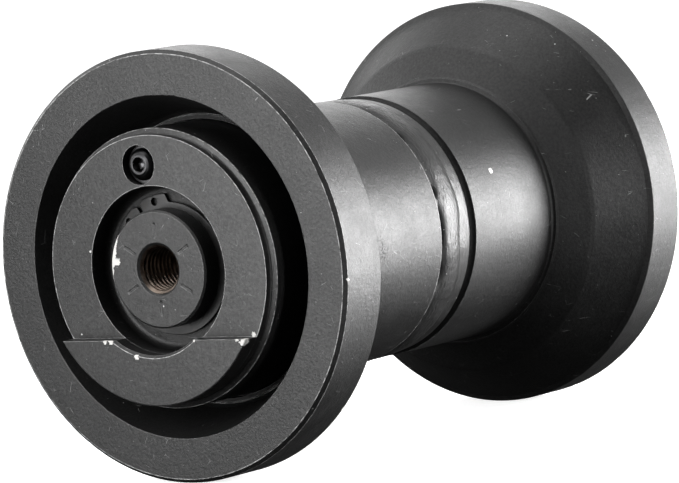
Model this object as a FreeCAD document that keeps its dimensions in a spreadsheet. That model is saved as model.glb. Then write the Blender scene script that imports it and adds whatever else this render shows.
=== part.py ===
import FreeCAD
import Part

# Bottom roller of a tracked undercarriage.
#
# A double-flanged roller shell turns on a fixed shaft.  The shell is two forged halves joined by a weld
# bead, and it runs on two flanged bushings.  At each end a stepped collar is held on the shaft by a
# circlip and kept from turning by a dowel, and a floating face seal between collar and shell keeps the
# oil in.  A filler plug closes the oil passage in each collar.
#
# Frame: the roller's axis is Y, the near end is at -Y, +Z is up (the side that faces the machine) and
# the origin is the roller's centre.  The far end is the near end turned half a turn about Z, but its
# rim is narrower and its shell half is shorter.
# Most places along the axis are given as a depth: the distance inward from the flange's outer face.

import math
import os

import Sketcher
from FreeCAD import Placement, Rotation, Vector

ENDS = (("near", 0), ("far", 180))

SIZES = {
    # The driving sizes of the whole roller
    "roller_length": 247.0,
    "flange_radius": 88.0,
    "hub_radius": 55.7,
    "collar_radius": 56.9,
    "shaft_radius": 24.0,
    # Roller shell
    "rim_width_near": 24.9,
    "rim_width_far": 22.2,
    "rim_edge": 1.8,
    "rim_back_edge": 1.1,
    "flare_knee_rise": 12.7,
    "flare_knee_depth": 42.8,
    "flare_foot_rise": 2.6,
    "flare_foot_depth": 50.1,
    "flare_foot_edge": 0.7,
    "hub_fillet": 1.8,
    "recess_mouth_gap": 12.8,
    "recess_floor_gap": 4.1,
    "recess_depth": 26.2,
    "land_width": 3.0,
    "land_depth": 27.6,
    "land_groove": 0.8,
    "labyrinth_gap": 0.5,
    "chamber_step": 3.5,
    # Weld between the shell halves
    "weld_offset": 2.0,
    "weld_half_width": 12.7,
    "weld_depth": 9.7,
    "weld_crest_drop": 0.4,
    "weld_near_drop": 0.9,
    "weld_far_drop": 1.3,
    "weld_crest_share": 0.5,
    # Collar
    "front_taper": 2.5,
    "shoulder_rise": 2.45,
    "shoulder_round": 5.0,
    "front_rise": 7.1,
    "segment_rise": 14.6,
    "ledge_drop": 27.6,
    "segment_edge": 0.6,
    "collar_rear_depth": 30.8,
    "counterbore_gap": 9.9,
    "counterbore_depth": 3.95,
    "counterbore_round": 3.0,
    "counterbore_edge": 1.1,
    "boss_step": 3.5,
    "boss_end_gap": 0.02,
    # Shaft
    "shaft_rise": 7.0,
    "shaft_edge": 0.8,
    "shaft_fit": 0.02,
    "journal_step": 6.0,
    "journal_depth": 44.0,
    "waist_step": 2.0,
    "journal_spare": 1.0,
    "thread_radius": 8.65,
    "thread_depth": 42.0,
    "thread_edge": 2.3,
    # Bushing
    "running_fit": 0.05,
    "bushing_wall": 4.5,
    "bushing_flange_step": 10.0,
    "bushing_flange_width": 4.0,
    "bushing_inset": 64.5,
    "bushing_gap": 0.3,
    "bushing_edge": 0.8,
    # Circlip in its groove
    "circlip_width": 1.75,
    "circlip_play": 0.05,
    "circlip_groove": 1.25,
    "circlip_thin": 3.4,
    "circlip_thick": 5.0,
    "lug_height": 7.0,
    "lug_hole_radius": 1.25,
    "lug_hole_height": 4.35,
    "lug_gap": 1.7,
    "lug_root": 0.5,
    "lug_corner": 1.0,
    # Floating seal and O-ring
    "seal_plane_depth": 31.25,
    "seal_front_gap": 0.25,
    "seal_face_gap": 0.1,
    "seal_clearance": 2.5,
    "seal_tail_wall": 3.5,
    "seal_lip_height": 7.0,
    "seal_lip_width": 1.8,
    "toric_space": 8.0,
    "toric_squeeze": 0.05,
    "toric_gap": 0.1,
    "seal_tail_gap": 1.85,
    "seal_floor_gap": 1.3,
    "seal_mouth": 1.5,
    "o_ring_depth": 14.0,
    "o_ring_section": 1.18,
    "o_ring_groove": 2.38,
    "o_ring_groove_width": 4.2,
    # Dowel
    "dowel_radius": 2.0,
    "dowel_step": 3.0,
    "dowel_length": 16.0,
    "dowel_chamfer": 0.4,
    # Filler plug
    "plug_across": -5.03,
    "plug_step": 8.5,
    "plug_recess_radius": 8.1,
    "plug_recess_depth": 4.8,
    "plug_head_radius": 6.6,
    "plug_top_radius": 3.9,
    "plug_hex": 5.0,
    "plug_hex_depth": 3.4,
    "plug_shank_radius": 4.9,
    "plug_shank_length": 11.5,
    "plug_hole_depth": 14.5,
    "plug_fit": 0.05,
    "plug_sink": 0.1,
    "plug_edge": 1.0,
    "washer_radius": 7.7,
    "washer_thickness": 1.1,
    "washer_play": 0.02,
    "washer_fit": 0.15,
    "passage_radius": 1.8,
    "passage_drop": 6.2,
}

# Angles in degrees, seen from the near end.
GAP_ANGLE = 120.0
LUG_HOLE_ANGLE = 17.2
LUG_END_ANGLE = 31.0
LUG_TOP_SHARE = 0.93
DRILL_POINT_ANGLE = 59.0
HEX_TURN = 12.0

# Corners of the plug's domed head: share of its height fallen, and of its widening reached.
PLUG_DOME = ((0.14, 0.36), (0.40, 0.74), (0.75, 1.0))


class Size:
    """A length that carries both its number and the sheet expression that drives it."""

    def __init__(self, number, text):
        self.number = number
        self.text = text

    def __add__(self, other):
        other = as_size(other)
        return Size(self.number + other.number, f"({self.text} + {other.text})")

    def __sub__(self, other):
        other = as_size(other)
        return Size(self.number - other.number, f"({self.text} - {other.text})")

    def __mul__(self, other):
        other = as_size(other)
        return Size(self.number * other.number, f"({self.text} * {other.text})")

    def __neg__(self):
        return self * -1


def as_size(value):
    """Turn a plain number into a size; leave a size as it is."""
    if isinstance(value, Size):
        return value
    return Size(float(value), f"{float(value)}")


def size(name):
    """The named size from the table above."""
    return Size(SIZES[name], f"Sizes.{name}")


def at(depth):
    """Place along Y of a depth below the near flange's outer face."""
    return as_size(depth) - size("roller_length") * 0.5


# Radii that follow from the driving sizes, from the shaft outwards.
SHAFT = size("shaft_radius")
JOURNAL = SHAFT + size("journal_step")
BOSS = JOURNAL + size("boss_step")
WELL = SHAFT + size("counterbore_gap")
BUSHING = JOURNAL + size("bushing_wall")
BUSHING_FLANGE = JOURNAL + size("bushing_flange_step")
CLIP_GROOVE = SHAFT - size("circlip_groove")
RING_GROOVE = SHAFT - size("o_ring_groove")
DOWEL_DROP = SHAFT + size("dowel_step")
SEAL_BORE = BOSS + size("seal_clearance")
SEAL_TAIL = SEAL_BORE + size("seal_tail_wall")
SEAL_CAVITY = SEAL_TAIL + size("toric_space")
COLLAR = size("collar_radius")
HUB = size("hub_radius")
RIM = size("flange_radius")

# Distances along the axis from the plane where two seal rings meet.
SEAL_FACE = size("seal_face_gap") * 0.5
LIP_BACK = SEAL_FACE + size("seal_lip_width")
TORIC_PLACE = LIP_BACK + size("toric_space") * 0.5 + size("toric_gap")
CAVITY_DEPTH = TORIC_PLACE + size("toric_space") * 0.5 + size("seal_floor_gap")
SEAL_LENGTH = CAVITY_DEPTH - size("seal_tail_gap")

# Depths that several sub-parts share.
FACE_RISE = -size("front_rise")
BUSHING_SEAT = size("journal_depth") + size("bushing_gap") + size("bushing_flange_width")
BUSHING_LENGTH = size("roller_length") * 0.5 - size("bushing_inset")
PLUG_FLOOR = size("plug_recess_depth") - size("front_rise")
PLUG_HEIGHT = WELL + size("plug_step")

doc = FreeCAD.newDocument("bottom_roller")


def write_sheet():
    """Spreadsheet with one named cell for each size."""
    sheet = doc.addObject("Spreadsheet::Sheet", "Sizes")
    for row, (name, value) in enumerate(SIZES.items(), start=1):
        sheet.set(f"A{row}", name)
        sheet.set(f"B{row}", f"{value}")
        sheet.setAlias(f"B{row}", name)
    doc.recompute()


# ---------------------------------------------------------------- helpers for bodies and sketches

pieces = []


def keep(piece, label, turn=0):
    """Register a finished sub-part under its own label, turned about Z for its end."""
    piece.Label = label
    turned = Placement(Vector(0, 0, 0), Rotation(Vector(0, 0, 1), turn))
    piece.Placement = turned.multiply(piece.Placement)
    pieces.append(piece)


def new_body(label, turn=0):
    body = doc.addObject("PartDesign::Body", f"body_{label}")
    keep(body, label, turn)
    return body


def new_sketch(body, name, role, lift=None):
    """Empty sketch on one of the body's origin planes, lifted along the plane's normal."""
    sketch = body.newObject("Sketcher::SketchObject", name)
    plane = next(item for item in body.Origin.OriginFeatures if item.Role == role)
    sketch.AttachmentSupport = (plane, [""])
    sketch.MapMode = "FlatFace"
    if lift is not None:
        sketch.AttachmentOffset = Placement(Vector(0, 0, lift.number), Rotation())
        sketch.setExpression("AttachmentOffset.Base.z", lift.text)
    return sketch


def drive(sketch, constraint, label, length):
    """Add a constraint and bind its value to the sheet."""
    index = sketch.addConstraint(constraint)
    sketch.renameConstraint(index, label)
    sketch.setExpression(f"Constraints.{label}", length.text)


def pin_point(sketch, geometry, point, across, up, label):
    """Fix a sketch point by its two distances from the sketch's origin."""
    for axis, length in (("X", across), ("Y", up)):
        constraint = Sketcher.Constraint(f"Distance{axis}", -1, 1, geometry, point, length.number)
        drive(sketch, constraint, f"{label}_{axis}", length)


def add_polygon(sketch, corners, label="corner"):
    """Closed run of straight lines through corners given as pairs of sizes."""
    corners = [(as_size(across), as_size(up)) for across, up in corners]
    points = [Vector(across.number, up.number, 0) for across, up in corners]
    first = sketch.GeometryCount
    count = len(points)
    for start, end in zip(points, points[1:] + points[:1]):
        sketch.addGeometry(Part.LineSegment(start, end))
    for index in range(count):
        following = first + (index + 1) % count
        sketch.addConstraint(Sketcher.Constraint("Coincident", first + index, 2, following, 1))
    for index, (across, up) in enumerate(corners):
        pin_point(sketch, first + index, 1, across, up, f"{label}_{index}")


def add_circle(sketch, across, up, radius, label):
    across, up, radius = as_size(across), as_size(up), as_size(radius)
    centre = Vector(across.number, up.number, 0)
    circle = sketch.addGeometry(Part.Circle(centre, Vector(0, 0, 1), radius.number))
    pin_point(sketch, circle, 3, across, up, label)
    drive(sketch, Sketcher.Constraint("Radius", circle, radius.number), f"{label}_radius", radius)


def revolve(body, name, corners):
    """Turn an outline of (place along Y, radius) corners about the Y axis."""
    sketch = new_sketch(body, f"{name}_outline", "YZ_Plane")
    add_polygon(sketch, corners)
    turned = body.newObject("PartDesign::Revolution", name)
    turned.Profile = sketch
    turned.ReferenceAxis = (sketch, ["H_Axis"])
    turned.Angle = 360
    doc.recompute()
    return turned


def cut_inward(body, name, sketch, depth):
    """Pocket a sketch that lies on a lifted XZ plane towards +Y, and check that it removed material."""
    before = body.Shape.Volume
    pocket = body.newObject("PartDesign::Pocket", name)
    pocket.Profile = sketch
    pocket.Length = depth.number
    pocket.setExpression("Length", depth.text)
    doc.recompute()
    if body.Shape.Volume >= before:
        raise RuntimeError(f"{name} removed nothing")
    return pocket


def round_edges(body, name, place, ring, radius):
    """Round the circular edges found at one place along Y and one radius."""
    base = body.Tip
    names = []
    for index, edge in enumerate(base.Shape.Edges, start=1):
        curve = edge.Curve
        if not isinstance(curve, Part.Circle):
            continue
        same_ring = abs(curve.Radius - ring.number) < 0.01
        if same_ring and abs(curve.Center.y - place.number) < 0.01:
            names.append(f"Edge{index}")
    if not names:
        raise RuntimeError(f"{name} found no edge")
    rounded = body.newObject("PartDesign::Fillet", name)
    rounded.Base = (base, names)
    rounded.Radius = radius.number
    rounded.setExpression("Radius", radius.text)
    doc.recompute()


# ---------------------------------------------------------------- roller shell and weld


def weld_plane(end):
    """Depth of the joint face: the near half is the longer one."""
    half = size("roller_length") * 0.5
    if end == "near":
        return half + size("weld_offset")
    return half - size("weld_offset")


def shell(end, turn):
    """One forged half: rim, double-cone flare, hub, recess for the collar, seal cavity, bushing seat."""
    body = new_body(f"shell_{end}", turn)
    rim_end = size(f"rim_width_{end}")
    rim_back = RIM - size("rim_back_edge") * 2
    foot = size("flare_foot_depth")
    flare_foot = HUB + size("flare_foot_rise")
    flare_knee = flare_foot + size("flare_knee_rise")
    hub_start = foot + size("flare_foot_edge")
    joint = weld_plane(end)
    land = size("land_depth")
    land_end = COLLAR + size("land_width")
    groove = size("land_groove")
    labyrinth = COLLAR + size("labyrinth_gap")
    seal_front = size("seal_plane_depth") + size("seal_front_gap")
    seal_mouth = size("seal_mouth")
    cavity_floor = size("seal_plane_depth") + CAVITY_DEPTH
    flange_seat = BUSHING_FLANGE + size("bushing_gap")
    seat_end = BUSHING_SEAT + BUSHING_LENGTH
    chamber = BUSHING + size("chamber_step")
    corners = [
        (at(0), COLLAR + size("recess_mouth_gap")),
        (at(0), RIM - size("rim_edge")),
        (at(size("rim_edge")), RIM),
        (at(rim_end - size("rim_back_edge")), RIM),
        (at(rim_end), rim_back),
        (at(size("flare_knee_depth")), flare_knee),
        (at(foot), flare_foot),
        (at(hub_start), flare_foot - size("flare_foot_edge")),
        (at(hub_start), HUB),
        (at(joint - size("weld_half_width")), HUB),
        (at(joint), HUB - size("weld_depth")),
        (at(joint), chamber),
        (at(seat_end), chamber),
        (at(seat_end), BUSHING),
        (at(BUSHING_SEAT), BUSHING),
        (at(BUSHING_SEAT), flange_seat),
        (at(cavity_floor), flange_seat),
        (at(cavity_floor), SEAL_CAVITY),
        (at(seal_front + seal_mouth), SEAL_CAVITY),
        (at(seal_front), SEAL_CAVITY + seal_mouth),
        (at(seal_front), labyrinth),
        (at(land), labyrinth),
        (at(land), land_end - groove),
        (at(land + groove), land_end - groove * 0.5),
        (at(land), land_end),
        (at(size("recess_depth")), COLLAR + size("recess_floor_gap")),
    ]
    revolve(body, "forging", corners)
    round_edges(body, "hub_root", at(hub_start), HUB, size("hub_fillet"))


def weld_bead():
    """Ring of weld metal that fills the V groove between the halves, a little below the hub."""
    body = new_body("weld_bead")
    centre = size("weld_offset")
    slope = SIZES["weld_half_width"] / SIZES["weld_depth"]
    near_edge = (size("weld_depth") - size("weld_near_drop")) * slope
    far_edge = (size("weld_depth") - size("weld_far_drop")) * slope
    crest = HUB - size("weld_crest_drop")
    corners = [
        (centre, HUB - size("weld_depth")),
        (centre - near_edge, HUB - size("weld_near_drop")),
        (centre - near_edge * size("weld_crest_share"), crest),
        (centre + far_edge * size("weld_crest_share"), crest),
        (centre + far_edge, HUB - size("weld_far_drop")),
    ]
    revolve(body, "bead", corners)


# ---------------------------------------------------------------- collar


def collar(end, turn):
    """Stepped end collar: counterbore for the circlip, boss on the shaft, cavity for the fixed seal."""
    body = new_body(f"collar_{end}", turn)
    bore = SHAFT + size("shaft_fit")
    floor = size("counterbore_depth")
    lead = size("counterbore_edge")
    front = COLLAR - size("front_taper")
    segment = size("segment_rise")
    edge = size("segment_edge")
    rear = size("collar_rear_depth")
    mouth = size("seal_mouth")
    cavity_floor = size("seal_plane_depth") - CAVITY_DEPTH
    boss_end = size("journal_depth") - size("boss_end_gap")
    corners = [
        (at(floor), bore),
        (at(floor), WELL),
        (at(lead - segment), WELL),
        (at(-segment), WELL + lead),
        (at(-segment), front - edge),
        (at(edge - segment), front),
        (at(FACE_RISE), front),
        (at(-size("shoulder_rise")), COLLAR),
        (at(rear), COLLAR),
        (at(rear), SEAL_CAVITY + mouth),
        (at(rear - mouth), SEAL_CAVITY),
        (at(cavity_floor), SEAL_CAVITY),
        (at(cavity_floor), BOSS),
        (at(boss_end), BOSS),
        (at(boss_end), bore),
    ]
    revolve(body, "collar_blank", corners)
    cut_step(body)
    round_edges(body, "well_floor", at(floor), WELL, size("counterbore_round"))
    round_edges(body, "shoulder", at(-size("shoulder_rise")), COLLAR, size("shoulder_round"))
    cut_plug_hole(body)
    cut_dowel_hole(body)


def cut_step(body):
    """Mill the front down above the ledge, which leaves the raised segment at the bottom."""
    sketch = new_sketch(body, "step_outline", "XZ_Plane", -at(-size("segment_rise")))
    ledge = -size("ledge_drop")
    add_polygon(sketch, [(-COLLAR, ledge), (COLLAR, ledge), (COLLAR, COLLAR), (-COLLAR, COLLAR)])
    cut_inward(body, "step", sketch, size("segment_rise") - size("front_rise"))


def cut_plug_hole(body):
    """Recess for the plug's head, its tapped hole, and the drilled passage down to the oil."""
    across = size("plug_across")
    recess = new_sketch(body, "plug_recess_outline", "XZ_Plane", -at(FACE_RISE))
    add_circle(recess, across, PLUG_HEIGHT, size("plug_recess_radius"), "recess")
    cut_inward(body, "plug_recess", recess, size("plug_recess_depth"))
    tapped = new_sketch(body, "plug_hole_outline", "XZ_Plane", -at(PLUG_FLOOR))
    add_circle(tapped, across, PLUG_HEIGHT, size("plug_shank_radius") + size("plug_fit"), "tapped")
    cut_inward(body, "plug_hole", tapped, size("plug_hole_depth"))

    bottom = at(PLUG_FLOOR + size("plug_hole_depth") - size("passage_radius"))
    cavity_floor = at(size("seal_plane_depth") - CAVITY_DEPTH)
    start = Vector(across.number, bottom.number, PLUG_HEIGHT.number)
    drop = Vector(0, cavity_floor.number - bottom.number, -SIZES["passage_drop"])
    before = body.Shape.Volume
    passage = body.newObject("PartDesign::SubtractiveCylinder", "oil_passage")
    passage.setExpression("Radius", size("passage_radius").text)
    passage.Height = drop.Length + 2 * SIZES["passage_radius"]
    passage.Placement = Placement(start, Rotation(Vector(0, 0, 1), drop))
    doc.recompute()
    if body.Shape.Volume >= before:
        raise RuntimeError("oil_passage removed nothing")


def cut_dowel_hole(body):
    """Half of the dowel's length lies in the collar's boss and half in the journal's shoulder."""
    start = size("journal_depth") - size("dowel_length") * 0.5
    sketch = new_sketch(body, "dowel_hole_outline", "XZ_Plane", -at(start))
    add_circle(sketch, 0, -DOWEL_DROP, size("dowel_radius"), "dowel")
    cut_inward(body, "dowel_hole", sketch, size("dowel_length"))


# ---------------------------------------------------------------- shaft and bushings


def shaft():
    """Fixed shaft: threaded ends, circlip and O-ring grooves, a journal for each bushing, a waist."""
    body = new_body("shaft")
    tip = at(-size("shaft_rise"))
    thread = size("thread_radius")
    point = SIZES["thread_radius"] / math.tan(math.radians(DRILL_POINT_ANGLE))
    edge = size("shaft_edge")
    clip_back = size("counterbore_depth")
    clip_front = clip_back - size("circlip_width") - size("circlip_play") * 2
    ring_front = size("o_ring_depth") - size("o_ring_groove_width") * 0.5
    ring_back = ring_front + size("o_ring_groove_width")
    journal_start = size("journal_depth")
    journal_end = journal_start + size("bushing_flange_width") + BUSHING_LENGTH + size("journal_spare")
    waist = JOURNAL - size("waist_step")
    corners = [
        (0, 0),
        (tip + size("thread_depth") + point, 0),
        (tip + size("thread_depth"), thread),
        (tip + size("thread_edge"), thread),
        (tip, thread + size("thread_edge")),
        (tip, SHAFT - edge),
        (tip + edge, SHAFT),
        (at(clip_front), SHAFT),
        (at(clip_front), CLIP_GROOVE),
        (at(clip_back), CLIP_GROOVE),
        (at(clip_back), SHAFT),
        (at(ring_front), SHAFT),
        (at(ring_front), RING_GROOVE),
        (at(ring_back), RING_GROOVE),
        (at(ring_back), SHAFT),
        (at(journal_start), SHAFT),
        (at(journal_start), JOURNAL - edge),
        (at(journal_start + edge), JOURNAL),
        (at(journal_end), JOURNAL),
        (at(journal_end + size("waist_step")), waist),
        (0, waist),
    ]
    half = revolve(body, "half_shaft", corners)
    cut_dowel_hole(body)
    before = body.Shape.Volume
    mirrored = body.newObject("PartDesign::Mirrored", "both_ends")
    mirrored.Originals = [half, body.Tip]
    middle = next(item for item in body.Origin.OriginFeatures if item.Role == "XZ_Plane")
    mirrored.MirrorPlane = (middle, [""])
    body.Tip = mirrored
    doc.recompute()
    if body.Shape.Volume < before * 1.99:
        raise RuntimeError("the shaft's far end is missing")


def bushing(end, turn):
    """Flanged bearing bushing pressed into the shell, its flange against the collar's boss."""
    body = new_body(f"bushing_{end}", turn)
    bore = JOURNAL + size("running_fit")
    front = size("journal_depth") + size("bushing_gap")
    back = BUSHING_SEAT + BUSHING_LENGTH
    edge = size("bushing_edge")
    corners = [
        (at(front), bore + edge),
        (at(front), BUSHING_FLANGE),
        (at(BUSHING_SEAT), BUSHING_FLANGE),
        (at(BUSHING_SEAT), BUSHING),
        (at(back - edge), BUSHING),
        (at(back), BUSHING - edge),
        (at(back), bore),
        (at(front + edge), bore),
    ]
    revolve(body, "bushing", corners)


# ---------------------------------------------------------------- circlip


def circlip(end, turn):
    """External retaining ring: thickest opposite its gap, with two drilled lugs beside the gap."""
    body = new_body(f"circlip_{end}", turn)
    bore = CLIP_GROOVE + size("shaft_fit")
    front = at(size("counterbore_depth") - size("circlip_play") - size("circlip_width"))

    offset = (size("circlip_thick") - size("circlip_thin")) * 0.5
    outer = bore + (size("circlip_thick") + size("circlip_thin")) * 0.5
    ring = new_sketch(body, "ring_outline", "XZ_Plane", -front)
    add_circle(ring, *on_circle(-offset, GAP_ANGLE), outer, "outer")
    add_circle(ring, 0, 0, bore, "inner")
    pad_inward(body, "ring", ring, size("circlip_width"))

    lugs = new_sketch(body, "lug_outline", "XZ_Plane", -front)
    add_lugs(lugs, bore + size("lug_root"), bore + size("lug_height"))
    pad_inward(body, "lugs", lugs, size("circlip_width"))

    openings = new_sketch(body, "gap_outline", "XZ_Plane", -front)
    add_gap(openings, bore)
    for side in (-1, 1):
        centre = on_circle(bore + size("lug_hole_height"), GAP_ANGLE + side * LUG_HOLE_ANGLE)
        add_circle(openings, *centre, size("lug_hole_radius"), f"hole_{side + 1}")
    cut_inward(body, "gap_and_holes", openings, size("circlip_width"))


def pad_inward(body, name, sketch, thickness):
    """Raise a sketch that lies on a lifted XZ plane towards +Y."""
    pad = body.newObject("PartDesign::Pad", name)
    pad.Profile = sketch
    pad.setExpression("Length", thickness.text)
    pad.Reversed = True
    doc.recompute()


def on_circle(radius, degrees):
    """Across and up, as sizes, of a place on a circle about the axis."""
    angle = math.radians(degrees)
    return as_size(radius) * math.cos(angle), as_size(radius) * math.sin(angle)


def add_lugs(sketch, inner, outer):
    """One block across both lugs: a stretch of ring with sloping ends, cut apart later by the gap."""
    angles = [LUG_END_ANGLE * step / 6 - LUG_END_ANGLE for step in range(13)]
    outside = [on_circle(outer, GAP_ANGLE + angle * LUG_TOP_SHARE) for angle in angles]
    inside = [on_circle(inner, GAP_ANGLE + angle) for angle in reversed(angles)]
    add_polygon(sketch, outside + inside)


def add_gap(sketch, bore):
    """Slot between the lugs, wider at its mouth where the lugs' corners are cut off."""
    half = size("lug_gap") * 0.5
    cut = size("lug_corner")
    outer = bore + size("lug_height")
    rows = [(bore - cut, half), (outer - cut * 2, half), (outer - cut, half + cut), (outer + cut, half + cut)]
    corners = []
    for sign, run in ((-1, rows), (1, rows[::-1])):
        for out, across in run:
            out_across, out_up = on_circle(out, GAP_ANGLE)
            side_across, side_up = on_circle(across * sign, GAP_ANGLE + 90)
            corners.append((out_across + side_across, out_up + side_up))
    add_polygon(sketch, corners)


# ---------------------------------------------------------------- seals


def seal_ring(end, turn, role, inward):
    """Metal ring of the floating seal: a lapped lip and a tail that the toric ring grips."""
    body = new_body(f"seal_ring_{role}_{end}", turn)

    def away(distance):
        """Place along Y at a distance from the plane where the two rings meet."""
        return at(size("seal_plane_depth") + distance * inward)

    lip = SEAL_BORE + size("seal_lip_height")
    corners = [
        (away(SEAL_FACE), SEAL_BORE),
        (away(SEAL_FACE), lip),
        (away(LIP_BACK), lip),
        (away(LIP_BACK), SEAL_TAIL),
        (away(SEAL_LENGTH), SEAL_TAIL),
        (away(SEAL_LENGTH), SEAL_BORE),
    ]
    revolve(body, "ring", corners)


def ring_on_axis(label, turn, place, radius, section):
    """Rubber ring of round section about the Y axis."""
    ring = doc.addObject("Part::Torus", f"torus_{label}")
    ring.setExpression("Radius1", radius.text)
    ring.setExpression("Radius2", section.text)
    ring.Placement = Placement(Vector(0, place.number, 0), Rotation(Vector(1, 0, 0), 90))
    doc.recompute()
    keep(ring, label, turn)


def toric(end, turn, role, inward):
    """Rubber ring that presses a seal ring's tail against the wall of its cavity."""
    section = size("toric_space") * 0.5 - size("toric_squeeze")
    place = at(size("seal_plane_depth") + TORIC_PLACE * inward)
    ring_on_axis(f"toric_{role}_{end}", turn, place, SEAL_TAIL + size("toric_space") * 0.5, section)


def o_ring(end, turn):
    """Rubber ring in the shaft's groove, against the collar's bore."""
    section = size("o_ring_section")
    ring_on_axis(f"o_ring_{end}", turn, at(size("o_ring_depth")), RING_GROOVE + section, section)


# ---------------------------------------------------------------- dowel, filler plug and washer


def rod_along_axis(name, radius, start, length, across, up):
    """Cylinder parallel to the Y axis."""
    rod = doc.addObject("Part::Cylinder", name)
    rod.setExpression("Radius", radius.text)
    rod.setExpression("Height", length.text)
    place = Vector(across.number, start.number, up.number)
    rod.Placement = Placement(place, Rotation(Vector(1, 0, 0), -90))
    return rod


def dowel(end, turn):
    """Straight pin, half in the collar's boss and half in the journal's shoulder."""
    cut = SIZES["dowel_chamfer"]
    length = size("dowel_length") - size("dowel_chamfer")
    start = at(size("journal_depth")) - length * 0.5
    radius = size("dowel_radius") - size("shaft_fit")
    rod = rod_along_axis(f"rod_{end}", radius, start, length, as_size(0), -DOWEL_DROP)
    chamfer = doc.addObject("Part::Chamfer", f"chamfered_rod_{end}")
    chamfer.Base = rod
    doc.recompute()
    rims = [n for n, edge in enumerate(rod.Shape.Edges, start=1) if isinstance(edge.Curve, Part.Circle)]
    chamfer.Edges = [(number, cut, cut) for number in rims]
    doc.recompute()
    keep(chamfer, f"dowel_{end}", turn)


def washer(end, turn):
    """Flat sealing washer between the plug's head and the floor of its recess."""
    start = at(PLUG_FLOOR) - size("washer_thickness") + size("washer_play")
    thickness = size("washer_thickness") - size("washer_play") * 2
    place = (size("plug_across"), PLUG_HEIGHT)
    disc = rod_along_axis(f"disc_{end}", size("washer_radius"), start, thickness, *place)
    bore = size("plug_shank_radius") + size("washer_fit")
    hole = rod_along_axis(f"washer_hole_{end}", bore, start, thickness, *place)
    ring = doc.addObject("Part::Cut", f"washer_{end}")
    ring.Base = disc
    ring.Tool = hole
    doc.recompute()
    keep(ring, f"plug_washer_{end}", turn)


def filler_plug(end, turn):
    """Screw plug with a domed head and a hex socket, turned about its own axis and then placed."""
    body = new_body(f"filler_plug_{end}", turn)
    head_height = size("plug_recess_depth") - size("washer_thickness") - size("plug_sink")
    head = size("plug_head_radius")
    top = size("plug_top_radius")
    shank = size("plug_shank_radius")
    edge = size("plug_edge")
    base = at(PLUG_FLOOR - size("washer_thickness"))
    front = base - head_height
    tip = base + size("plug_shank_length")
    corners = [(front, 0), (front, top)]
    for fall, spread in PLUG_DOME:
        corners.append((front + head_height * fall, top + (head - top) * spread))
    corners += [
        (base, head),
        (base, shank),
        (tip - edge, shank),
        (tip, shank - edge),
        (tip, 0),
    ]
    revolve(body, "turned_plug", corners)
    socket = new_sketch(body, "socket_outline", "XZ_Plane", -front)
    corner = size("plug_hex") * (0.5 / math.cos(math.radians(30)))
    add_polygon(socket, [on_circle(corner, 60 * side + HEX_TURN) for side in range(6)])
    cut_inward(body, "hex_socket", socket, size("plug_hex_depth"))
    offset = Placement(Vector(SIZES["plug_across"], 0, PLUG_HEIGHT.number), Rotation())
    body.Placement = body.Placement.multiply(offset)


# ---------------------------------------------------------------- assembly, checks and files


def build():
    write_sheet()
    shaft()
    weld_bead()
    for end, turn in ENDS:
        shell(end, turn)
        bushing(end, turn)
        collar(end, turn)
        circlip(end, turn)
        o_ring(end, turn)
        for role, inward in (("fixed", -1), ("rotating", 1)):
            seal_ring(end, turn, role, inward)
            toric(end, turn, role, inward)
        dowel(end, turn)
        filler_plug(end, turn)
        washer(end, turn)
    doc.recompute()


def check():
    for item in doc.Objects:
        if "Invalid" in item.State or "Error" in item.State:
            raise RuntimeError(f"{item.Label} failed: {item.State}")
    for piece in pieces:
        shape = piece.Shape
        if shape.isNull() or not shape.isValid() or len(shape.Solids) != 1:
            raise RuntimeError(f"{piece.Label} has no single valid solid")


def write_files():
    os.makedirs("parts", exist_ok=True)
    for piece in pieces:
        piece.Shape.exportStep(f"parts/{piece.Label}.step")
        print(f"{piece.Label:28s} {piece.Shape.Volume / 1000:10.2f} cm3")


build()
check()
write_files()
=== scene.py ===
import math

import bmesh
import bpy
import numpy as np
from mathutils import Matrix, Vector


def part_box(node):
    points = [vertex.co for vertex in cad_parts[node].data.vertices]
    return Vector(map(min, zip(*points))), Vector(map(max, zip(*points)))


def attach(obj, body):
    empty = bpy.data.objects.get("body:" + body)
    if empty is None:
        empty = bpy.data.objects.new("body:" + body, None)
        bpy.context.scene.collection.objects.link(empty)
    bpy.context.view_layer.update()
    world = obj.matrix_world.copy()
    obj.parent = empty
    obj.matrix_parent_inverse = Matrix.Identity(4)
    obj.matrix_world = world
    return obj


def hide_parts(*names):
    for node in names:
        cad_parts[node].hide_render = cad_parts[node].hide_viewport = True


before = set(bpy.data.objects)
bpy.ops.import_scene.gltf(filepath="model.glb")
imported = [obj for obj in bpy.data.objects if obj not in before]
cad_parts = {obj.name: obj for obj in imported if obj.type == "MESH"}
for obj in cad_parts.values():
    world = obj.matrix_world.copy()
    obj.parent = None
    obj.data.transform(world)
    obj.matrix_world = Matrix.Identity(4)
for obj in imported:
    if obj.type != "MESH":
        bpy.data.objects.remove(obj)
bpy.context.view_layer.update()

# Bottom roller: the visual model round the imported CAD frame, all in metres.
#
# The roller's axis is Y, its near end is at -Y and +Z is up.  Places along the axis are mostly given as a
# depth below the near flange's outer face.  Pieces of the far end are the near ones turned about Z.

MM = 0.001
TAU = 2 * math.pi
SEGMENTS = 288
ENDS = (("near", 0.0), ("far", math.pi))
chance = np.random.default_rng(11)

# Sizes read from the frame.
shell_low, shell_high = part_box("shell_near")
collar_low, collar_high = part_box("collar_near")
shaft_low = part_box("shaft")[0]
plug_low, plug_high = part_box("filler_plug_near")
FACE = shell_low[1]
RIM = shell_high[0]
COLLAR = collar_high[0]
SEGMENT_FRONT = collar_low[1]
SHAFT_TIP = shaft_low[1]
PLUG_X = (plug_low[0] + plug_high[0]) / 2
PLUG_Z = (plug_low[2] + plug_high[2]) / 2

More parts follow.
